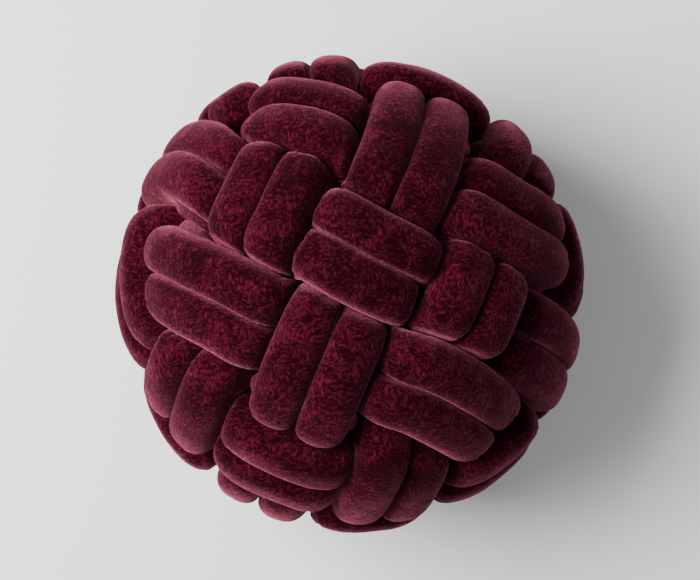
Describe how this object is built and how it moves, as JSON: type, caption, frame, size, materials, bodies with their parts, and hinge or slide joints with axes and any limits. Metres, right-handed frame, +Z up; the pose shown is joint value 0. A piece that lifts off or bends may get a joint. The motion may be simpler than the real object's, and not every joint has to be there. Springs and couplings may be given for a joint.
{
  "type": "woven velvet tube pouf",
  "caption": "Round floor pouf plaited from pairs of stuffed velvet tubes in a basket weave; a soft low seat or footrest that stands on a small flat spot.",
  "frame": {"origin": "on the ground, under the middle of the pouf's box", "axes": "+Z up from the ground it rests on; +X and +Y level, with the picture's right along +X and its top along +Y"},
  "size_m": [0.395, 0.4022, 0.3651],
  "materials": {
    "velvet": "burgundy crushed velvet pile"
  },
  "bodies": {
    "root": {"belt_top_1": "velvet", "belt_top_2": "velvet", "belt_middle_1": "velvet", "belt_middle_2": "velvet", "belt_bottom_1": "velvet", "belt_bottom_2": "velvet", "cross_far_1": "velvet", "cross_far_2": "velvet", "cross_middle_1": "velvet", "cross_middle_2": "velvet", "cross_near_1": "velvet", "cross_near_2": "velvet", "length_right_1": "velvet", "length_right_2": "velvet", "length_middle_1": "velvet", "length_middle_2": "velvet", "length_left_1": "velvet", "length_left_2": "velvet"}
  },
  "joints": []
}
